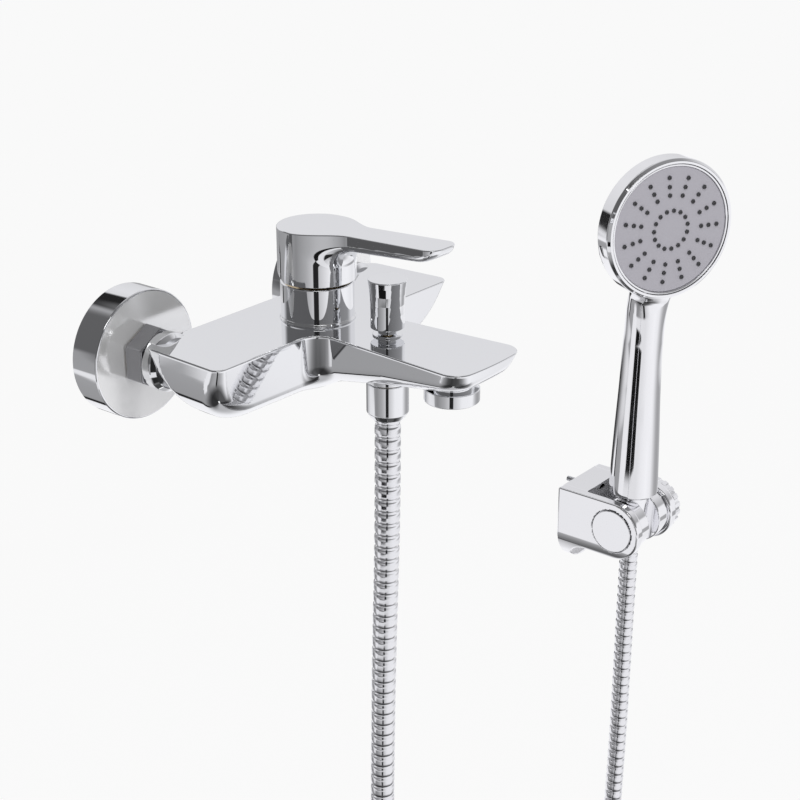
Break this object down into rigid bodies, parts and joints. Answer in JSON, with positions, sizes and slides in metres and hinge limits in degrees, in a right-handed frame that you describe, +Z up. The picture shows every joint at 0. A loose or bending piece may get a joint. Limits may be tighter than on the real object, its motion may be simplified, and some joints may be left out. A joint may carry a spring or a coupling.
{
  "type": "bath mixer",
  "caption": "Wall-mounted bath mixer with lever, pull-up diverter, ribbed hose, round hand shower and tilting wall bracket.",
  "frame": {"origin": "midway between the two inlet studs, in the wall plane", "axes": "+X along the wall towards the hand shower, +Y into the wall, +Z up"},
  "size_m": [0.5301, 0.1955, 0.9043],
  "materials": {
    "chrome": "polished",
    "plated_plastic": "chrome plated",
    "hose_metal": "polished",
    "brass": "machined",
    "steel": "satin",
    "rubber": "matte",
    "nozzle_rubber": "matte",
    "face_satin": "satin silver",
    "cartridge_plastic": "matte",
    "aerator_plastic": "matte"
  },
  "bodies": {
    "mixer": {"body_casting": "chrome", "wall_union_left": "brass", "wall_union_right": "brass", "escutcheon_left": "chrome", "escutcheon_right": "chrome", "union_nut_left": "chrome", "union_nut_right": "chrome", "inlet_washer_left": "rubber", "inlet_washer_right": "rubber", "cartridge_sleeve": "chrome", "cartridge_body": "cartridge_plastic", "clamp_ring": "brass", "diverter_gland": "chrome", "outlet_spigot": "brass", "outlet_washer": "rubber", "hose_ferrule_outlet": "brass", "outlet_nut": "chrome", "aerator_housing": "chrome", "aerator_washer": "rubber", "aerator_insert": "aerator_plastic", "bracket_body": "plated_plastic", "bracket_screw_upper": "steel", "bracket_screw_lower": "steel", "bracket_cap": "plated_plastic", "shower_hose": "hose_metal"},
    "turret": {"cartridge_turret": "cartridge_plastic", "pivot_pin": "steel"},
    "lever": {"handle": "chrome", "cartridge_stem": "steel", "grub_screw": "steel", "handle_plug": "chrome"},
    "diverter": {"diverter_knob": "chrome", "diverter_stem": "brass", "diverter_piston": "rubber"},
    "holder": {"holder_cup_left": "plated_plastic", "holder_cup_right": "plated_plastic"},
    "clamp": {"clamp_knob": "plated_plastic"},
    "handset": {"handset_shell": "plated_plastic", "handset_nipple": "brass", "cone_nut": "chrome", "cone_washer": "rubber", "hose_ferrule_cone": "brass", "face_plate": "face_satin", "nozzle_mat": "nozzle_rubber", "trim_ring": "plated_plastic"}
  },
  "joints": [
    {"name": "handle_swivel", "type": "hinge", "parent": "mixer", "child": "turret", "pos_m": [0, -0.0705, 0.044], "axis": [0, 0, 1], "range_deg": [-50, 50]},
    {"name": "handle_lift", "type": "hinge", "parent": "turret", "child": "lever", "pos_m": [0, -0.0705, 0.044], "axis": [-1, 0, 0], "range_deg": [0, 22]},
    {"name": "diverter_pull", "type": "slide", "parent": "mixer", "child": "diverter", "axis": [0, 0, 1], "range_m": [0, 0.008], "stiffness_N_per_m": 150, "springref_m": -0.004},
    {"name": "holder_tilt", "type": "hinge", "parent": "mixer", "child": "holder", "pos_m": [0.381, -0.048, -0.261], "axis": [1, 0, 0], "range_deg": [-5, 25], "deforming": ["shower_hose"]},
    {"name": "handset_lift", "type": "slide", "parent": "holder", "child": "handset", "axis": [0, -0.0087, 1], "range_m": [0, 0.05], "deforming": ["shower_hose"]},
    {"name": "clamp_turn", "type": "hinge", "parent": "mixer", "child": "clamp", "pos_m": [0.414, -0.048, -0.261], "axis": [1, 0, 0], "range_deg": [0, 180]}
  ]
}
